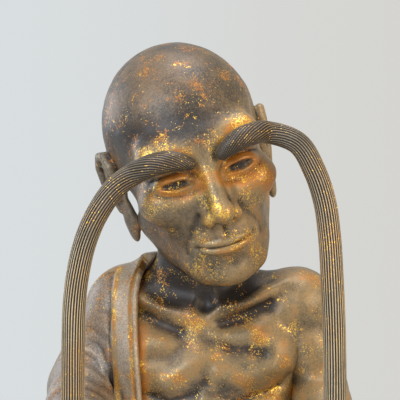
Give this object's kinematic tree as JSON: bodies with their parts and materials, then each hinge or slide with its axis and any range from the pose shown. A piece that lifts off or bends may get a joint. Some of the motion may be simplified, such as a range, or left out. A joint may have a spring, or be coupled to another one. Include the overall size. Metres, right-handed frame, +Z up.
{
  "type": "luohan figure",
  "caption": "Seated bald monk figure in cast bronze, robe over one shoulder, with very long eyebrows that arch out and hang down through the fists.",
  "frame": {"origin": "middle of the foot that the figure stands on, at the bottom centre of its box", "axes": "+Z up, the figure faces -Y, +X is the figure's left"},
  "size_m": [0.1718, 0.1231, 0.2598],
  "materials": {
    "lacquered_bronze": "dark brown lacquer with worn gilding, sandy",
    "gilt_cloth": "dark brown lacquer with worn gilding, satin",
    "chased_bronze": "chased hair lines under dark lacquer",
    "bare_brass": "filed, tarnished",
    "iron": "rusted black"
  },
  "bodies": {
    "root": {"seat_casting": "gilt_cloth", "closing_plate": "bare_brass", "tie_rod": "iron", "tie_washer": "iron", "tie_nut": "iron", "torso_casting": "lacquered_bronze", "robe_casting": "gilt_cloth", "left_arm": "lacquered_bronze", "right_fist": "lacquered_bronze", "left_fist": "lacquered_bronze", "right_waist_pin": "bare_brass", "left_waist_pin": "bare_brass", "left_arm_pin": "bare_brass", "right_wrist_pin": "bare_brass", "left_wrist_pin": "bare_brass", "robe_rivet_1": "bare_brass", "robe_rivet_2": "bare_brass", "robe_rivet_3": "bare_brass", "head_casting": "lacquered_bronze", "neck_pin": "bare_brass", "right_eyebrow": "chased_bronze", "left_eyebrow": "chased_bronze", "right_eyebrow_pin": "bare_brass", "left_eyebrow_pin": "bare_brass"}
  },
  "joints": []
}
